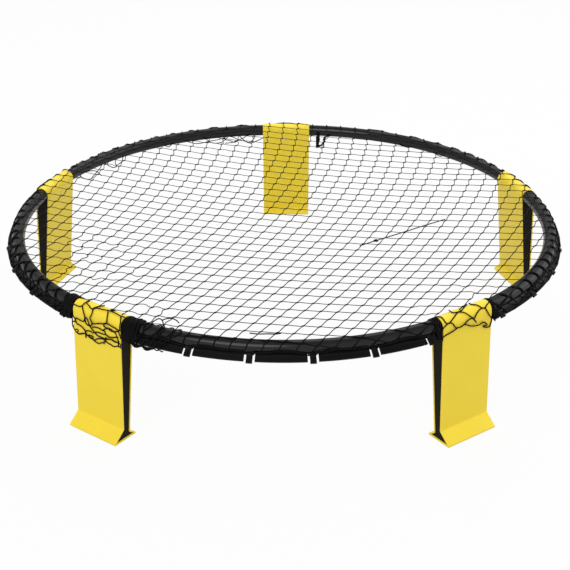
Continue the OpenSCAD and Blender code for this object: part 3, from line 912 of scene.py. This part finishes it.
def eased(points, count):
    """A smooth cord through the points: a cubic between each two of them, whose slope at a point is half
    the way from the point before it to the one after it."""
    p = np.asarray(points, float)
    p = np.concatenate([2 * p[:1] - p[1:2], p, 2 * p[-1:] - p[-2:-1]])
    u = np.linspace(0.0, len(p) - 3.0, count)
    i = np.minimum(u.astype(int), len(p) - 4)
    f = (u - i)[:, None]
    a, b, c, d = p[i], p[i + 1], p[i + 2], p[i + 3]
    return b + 0.5 * f * (c - a + f * (2 * a - 5 * b + 4 * c - d + f * (3 * (b - c) + d - a)))


def hem_paths(leg, cords):
    """Carries a hem's cords onto a leg. They lie one on another in a random order, and the higher ones
    belly out more where they hang below the saddle."""
    spots = np.stack([eased(cord, HEM_POINTS) for cord in cords])
    t = np.linspace(0.0, 1.0, HEM_POINTS)
    rank = rng.permutation(len(cords))[:, None] / len(cords)
    lift = HEM_PILE * rank + HEM_BELLY * rank * np.sin(math.pi * t) * smooth(spots[..., 1], *BELLY_RUN)
    return over_rim((leg - 1) * SPAN + spots[..., 0], spots[..., 1], lift)


twine_piece("net_hems", np.concatenate([hem_paths(3, LEFT_HEM), hem_paths(4, RIGHT_HEM)]), HEM_R)

# The wraps beside the front legs.
# The net's twine is bunched there and wound round the tube and its fin, in turns that lie side by side
# and one on another.
WRAP_R = 1.3 * TWINE_R
WRAP_POINTS = 41
WRAP_REST = 0.7
WRAP_PILE = 0.12
WRAP_WAVE = 0.5
WRAP_FROM_FIN = 1.0
WRAP_STRAY = 1.2
LOBE_PITCH = 17.0
TAB_R = 24.9639
TAB_RUN = (3.0, 9.0)

# Rows of turns: leg, side of it, where the turns start and end from the leg's middle, their number, how
# far they hang from the fin's edge, and how far they lean along the tube.
WRAPS = (
    (3, 1, 48.0, 74.0, 15, 3.0, 1.5),
    (3, 1, 76.0, 124.0, 5, 2.5, 14.0),
    (3, -1, 48.0, 66.0, 12, 1.2, 1.0),
    (4, -1, 48.0, 57.0, 5, 0.4, 0.0),
    (4, 1, 48.0, 54.0, 4, 0.4, 0.0),
)


def wound(leg, side, start, end, turns, slack, slant):
    """Turns of twine stretched round the tube and the edge of the fin: a circle, and the two tangents
    from the fin's edge to it. Each turn starts where it will, lies on those below and hangs in lobes."""
    phi = np.linspace(0.0, 2 * math.pi, WRAP_POINTS) + rng.uniform(0.0, 2 * math.pi, (turns, 1))
    number = np.arange(turns)[:, None] + 0.5 + 0.5 * np.sin(phi + rng.normal(size=(turns, 1)))
    along = start + (end - start) * number / turns
    along = np.maximum(along + slant * np.cos(phi), start)
    length = (leg - 1) * SPAN + side * along
    axis, out, reach = rim_place(length)
    pile = WRAP_PILE * turns * rng.random((turns, 1))
    ring = TUBE_R + TWINE_R + WRAP_REST + pile + WRAP_WAVE * np.sin(3 * phi)
    tip = FIN_R + WRAP_FROM_FIN + (TAB_R - FIN_R) * (1.0 - smooth(hook_distance(length), *TAB_RUN))
    tip = tip + slack * np.abs(np.sin(math.pi * along / LOBE_PITCH))
    tip = np.where(reach > LEG_SIDE, tip, ring) + WRAP_STRAY * rng.random((turns, 1))
    bearing = np.arccos(np.minimum(ring / tip, 1.0))
    off = np.abs(np.mod(phi - FIN_AT + math.pi, 2 * math.pi) - math.pi)
    radius = ring / np.cos(np.maximum(bearing - off, 0.0))
    plan = axis + (radius * np.sin(phi))[..., None] * out + RING_CENTRE
    return MM * np.concatenate([plan, (AXIS_H + radius * np.cos(phi))[..., None]], -1)


# Rows of the fringe: leg, where the row starts and ends from the leg's middle, its drop and its pitch.
FRINGES = (
    (3, 68.0, 102.0, 4.6, 17.0),
    (3, 68.0, 102.0, 3.4, 17.2),
    (3, 68.0, 103.0, 2.2, 16.8),
    (3, 68.0, 104.0, 1.0, 17.0),
    (3, 62.0, 118.0, 1.8, 8.0),
)
FRINGE_FROM_FIN = 0.6
FRINGE_LEAST = 0.15


def fringe(leg, start, end, drop, pitch):
    """Meshes that hang in small scallops from the fin's edge: the drop is shared out as the size of a
    sine, and never falls below its least share."""
    along = np.linspace(start, end, WRAP_POINTS)
    axis, out, _ = rim_place((leg - 1) * SPAN + along)
    radius = FIN_R + FRINGE_FROM_FIN + drop * (FRINGE_LEAST + np.abs(np.sin(math.pi * along / pitch)))
    plan = axis + (radius * math.sin(FIN_AT))[:, None] * out + RING_CENTRE
    return MM * np.concatenate([plan, (AXIS_H + radius * math.cos(FIN_AT))[:, None]], -1)


wraps = [wound(*row) for row in WRAPS] + [np.stack([fringe(*row) for row in FRINGES])]
twine_piece("net_wraps", np.concatenate(wraps), WRAP_R)

# The spare net under the back tubes.
# Rows that were left over hang in loops from the tubes' inner side, and one lump of them is tangled. Each
# cord is a list of places: the length round the ring from leg 1, and the drop below the tube's axis.
SPARE_CORDS = (
    ((174, 2), (166, 9), (160, 14), (151, 18), (136, 18), (128, 13), (122, 7.5)),
    ((212, 5.5), (193, 13), (177, 14.5), (162, 12.5), (143, 11.5), (128, 8.5)),
    ((119, 6), (108, 10), (99, 15), (90, 12.5), (83, 8.5), (75, 5.5)),
    ((128, 20.5), (113, 20), (100, 16.5), (86, 19), (74, 24), (62, 20), (48, 14)),
    ((98, 6), (89, 15.5), (78, 22.5), (66, 13.5), (65, 6)),
    ((128, 13), (119, 15), (108, 20), (100, 16.5)),
    ((260, 5), (253, 10.5), (247, 9.5), (240, 4)),
    ((409, 5), (398, 14), (387, 21), (378, 21), (381, 13), (378, 6.5)),
    ((360, 5.5), (364, 15), (380, 20.5)),
    ((417, 5.5), (422, 11), (431, 15.5)),
    ((483, 7), (470, 17), (453, 24), (442, 20.5), (431, 15.5)),
    ((473, 3.5), (455, 7), (435, 13.5), (420, 27.5)),
    ((2547, 4), (2541, 7.5), (2531, 8.5), (2524, 8), (2517, 4)),
    ((2465, 4), (2458, 8), (2449, 9), (2440, 4)),
)

# The tangle's strands go down and curl up again, or go down and back. One in three curls.
TANGLE = (
    ((2723, 3), (2722, 10), (2723, 17), (2724, 24), (2722, 29), (2717, 29), (2713, 26), (2710, 21),
     (2708, 15), (2704, 9), (2699, 5)),
    ((2720, 3), (2723, 9), (2721, 16), (2724, 23), (2722, 29), (2725, 31), (2724, 25), (2722, 18),
     (2724, 12), (2722, 7), (2724, 3)),
)
STRANDS = 16
STRAND_STRAY = 1.5
STRAND_POINTS = 70
STRAND_CLEAR = 3.0
SPARE_R = 1.25 * TWINE_R
SPARE_POINTS = 40
SPARE_ROUND = TUBE_R + 1.1
SPARE_LEAST = 9.0


def hung_inside(length, drop, clear=0.0):
    """Twine on the tube's inner side: on a circle round the tube at first, straight down once that comes
    closer to the axis than the least distance, and all of it further in by clear."""
    axis, out, _ = rim_place(length)
    off = clear + np.maximum(np.sqrt(np.maximum(SPARE_ROUND ** 2 - drop ** 2, 0.0)), SPARE_LEAST)
    plan = axis - off[..., None] * out + RING_CENTRE
    return MM * np.concatenate([plan, (AXIS_H - drop)[..., None]], -1)


loose = np.stack([eased(cord, SPARE_POINTS) for cord in SPARE_CORDS])
ways = np.array([TANGLE[1 if k % 3 else 0] for k in range(STRANDS)], float)
ways += rng.normal(0.0, STRAND_STRAY, ways.shape)
tangle = np.stack([eased(way, STRAND_POINTS) for way in ways])
tangle = hung_inside(tangle[..., 0], tangle[..., 1], STRAND_CLEAR * rng.random((STRANDS, 1)))
twine_piece("net_spare", hung_inside(loose[..., 0], loose[..., 1]), SPARE_R)
twine_piece("net_tangle", tangle, TWINE_R)

# The mends.
# One thread was laid across the net and knotted in with a coil, one cord at the front lies double, and
# two loose ends curl beside the left leg. Each is a list of places on the flat net, from its centre.
MENDS = (
    ((122, -142), (134, -133), (149, -122), (185, -97), (228, -66), (270, -37)),
    ((-44, -429), (-32, -431.5), (-20, -431), (-8, -431.5), (0, -429)),
    ((-185, -408), (-180, -397), (-174, -389), (-169, -392), (-166, -402), (-166, -414)),
    ((-169, -394), (-163, -389), (-155, -388), (-148, -394), (-144, -401)),
)
MEND_R = 1.3 * TWINE_R
MEND_POINTS = 40
MEND_LIFT = 1.3
COIL_AT = np.array([149.0, -122.0])
COIL_R, COIL_WAVE, COIL_TURNS = 2.8, 0.6, 2
turn = np.linspace(0.0, 2 * COIL_TURNS * math.pi, MEND_POINTS)
coil = COIL_AT + (COIL_R + COIL_WAVE * np.sin(1.5 * turn))[:, None] * compass(turn)[0]
mends = np.stack([eased(cord, MEND_POINTS) for cord in MENDS] + [coil])
twine_piece("net_mends", drape(mends, MEND_LIFT), MEND_R)
